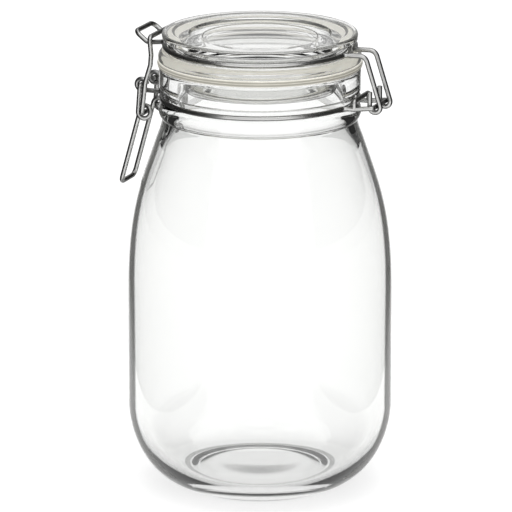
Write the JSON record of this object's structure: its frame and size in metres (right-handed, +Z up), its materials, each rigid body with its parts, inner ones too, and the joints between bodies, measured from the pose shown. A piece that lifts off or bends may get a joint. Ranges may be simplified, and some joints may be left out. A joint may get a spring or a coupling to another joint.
{
  "type": "clip-top storage jar",
  "caption": "Clear glass storage jar with a hinged glass lid, a ring seal and an over-centre wire clasp that pulls the lid down.",
  "frame": {"origin": "under the middle of the whole jar, wires included, in the plane of the ring that it stands on; the jar's own axis is 2.75 mm towards the hinge", "axes": "+Z up along the jar's axis, +X towards the hinge, -X towards the clasp"},
  "size_m": [0.1379, 0.1304, 0.228],
  "materials": {
    "jar_glass": "clear pressed glass",
    "neck_wire": "bright drawn stainless wire",
    "lid_glass": "clear pressed glass",
    "seal": "off-white matt rubber",
    "lid_wire": "bright drawn stainless wire",
    "lever": "bright drawn stainless wire",
    "link": "bright drawn stainless wire"
  },
  "bodies": {
    "jar": {"jar_glass": "jar_glass", "neck_wire": "neck_wire"},
    "lid": {"lid_glass": "lid_glass", "seal": "seal", "lid_wire": "lid_wire"},
    "lever": {"lever": "lever"},
    "link": {"link": "link"}
  },
  "joints": [
    {"name": "lid_hinge", "type": "hinge", "parent": "jar", "child": "lid", "pos_m": [0.06515, 0, 0.1966], "axis": [0, 1, 0], "range_deg": [0, 105]},
    {"name": "lever_pivot", "type": "hinge", "parent": "jar", "child": "lever", "pos_m": [-0.05625, 0, 0.198], "axis": [0, 1, 0], "range_deg": [0, 90]},
    {"name": "link_pivot", "type": "hinge", "parent": "lever", "child": "link", "pos_m": [-0.05425, 0, 0.1845], "axis": [0, 1, 0], "range_deg": [-66.6, 0]}
  ],
  "couplings": [
    {"joint": "link_pivot", "follows": "lever_pivot", "ratio": -0.74}
  ]
}
